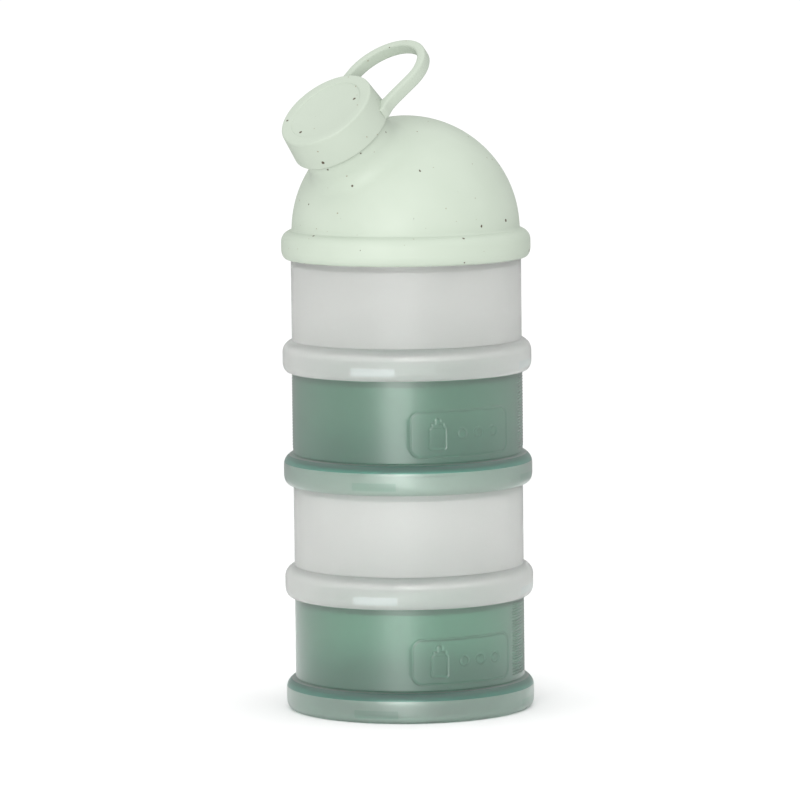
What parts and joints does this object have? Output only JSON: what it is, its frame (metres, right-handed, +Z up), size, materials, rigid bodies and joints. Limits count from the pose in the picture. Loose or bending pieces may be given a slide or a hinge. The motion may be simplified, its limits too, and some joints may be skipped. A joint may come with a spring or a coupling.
{
  "type": "formula dispenser",
  "caption": "Stack of twist-locking round compartments for milk powder, under a domed lid with a tilted pouring spout and a screw cap with a carrying loop.",
  "frame": {"origin": "centre of the circle that the lowest compartment stands on", "axes": "+Z up the stack's axis; -Y is the front, and the spout leans halfway between -X and -Y"},
  "size_m": [0.08, 0.08, 0.2152],
  "materials": {
    "white_frosted": "frosted, slightly translucent white polypropylene",
    "green_translucent": "smooth translucent grey-green polypropylene",
    "pale_green_speckled": "satin pale green polypropylene with a few fine dark specks",
    "cap_pale_green": "satin pale green polypropylene with a few fine dark specks",
    "silicone": "soft milky silicone"
  },
  "bodies": {
    "cup_4": {"compartment_4": "green_translucent"},
    "ring_4": {"seal_ring_4": "silicone"},
    "cup_3": {"compartment_3": "white_frosted"},
    "ring_3": {"seal_ring_3": "silicone"},
    "cup_2": {"compartment_2": "green_translucent"},
    "ring_2": {"seal_ring_2": "silicone"},
    "cup_1": {"compartment_1": "white_frosted"},
    "ring_1": {"seal_ring_1": "silicone"},
    "lid": {"dome_lid": "pale_green_speckled"},
    "liner": {"cap_seal": "silicone"},
    "screw_cap": {"cap": "cap_pale_green"}
  },
  "joints": [
    {"name": "rise_compartment_3", "type": "slide", "parent": "cup_4", "child": "ring_4", "axis": [0, 0, 1], "range_m": [0, 0.0061]},
    {"name": "turn_compartment_3", "type": "hinge", "parent": "ring_4", "child": "cup_3", "pos_m": [0, 0, 0.0363], "axis": [0, 0, 1], "range_deg": [0, 90]},
    {"name": "rise_compartment_2", "type": "slide", "parent": "cup_3", "child": "ring_3", "axis": [0, 0, 1], "range_m": [0, 0.0061]},
    {"name": "turn_compartment_2", "type": "hinge", "parent": "ring_3", "child": "cup_2", "pos_m": [0, 0, 0.0726], "axis": [0, 0, 1], "range_deg": [0, 90]},
    {"name": "rise_compartment_1", "type": "slide", "parent": "cup_2", "child": "ring_2", "axis": [0, 0, 1], "range_m": [0, 0.0061]},
    {"name": "turn_compartment_1", "type": "hinge", "parent": "ring_2", "child": "cup_1", "pos_m": [0, 0, 0.1089], "axis": [0, 0, 1], "range_deg": [0, 90]},
    {"name": "rise_lid", "type": "slide", "parent": "cup_1", "child": "ring_1", "axis": [0, 0, 1], "range_m": [0, 0.0061]},
    {"name": "turn_lid", "type": "hinge", "parent": "ring_1", "child": "lid", "pos_m": [0, 0, 0.1452], "axis": [0, 0, 1], "range_deg": [0, 90]},
    {"name": "rise_cap", "type": "slide", "parent": "lid", "child": "liner", "axis": [-0.4639, -0.4639, 0.7547], "range_m": [0, 0.0062]},
    {"name": "turn_cap", "type": "hinge", "parent": "liner", "child": "screw_cap", "pos_m": [0, 0, 0.15414], "axis": [-0.4639, -0.4639, 0.7547], "range_deg": [0, 180]}
  ],
  "couplings": [
    {"joint": "rise_compartment_3", "follows": "turn_compartment_3", "m_per_rad": 0.003883},
    {"joint": "rise_compartment_2", "follows": "turn_compartment_2", "m_per_rad": 0.003883},
    {"joint": "rise_compartment_1", "follows": "turn_compartment_1", "m_per_rad": 0.003883},
    {"joint": "rise_lid", "follows": "turn_lid", "m_per_rad": 0.003883},
    {"joint": "rise_cap", "follows": "turn_cap", "m_per_rad": 0.0019735}
  ]
}
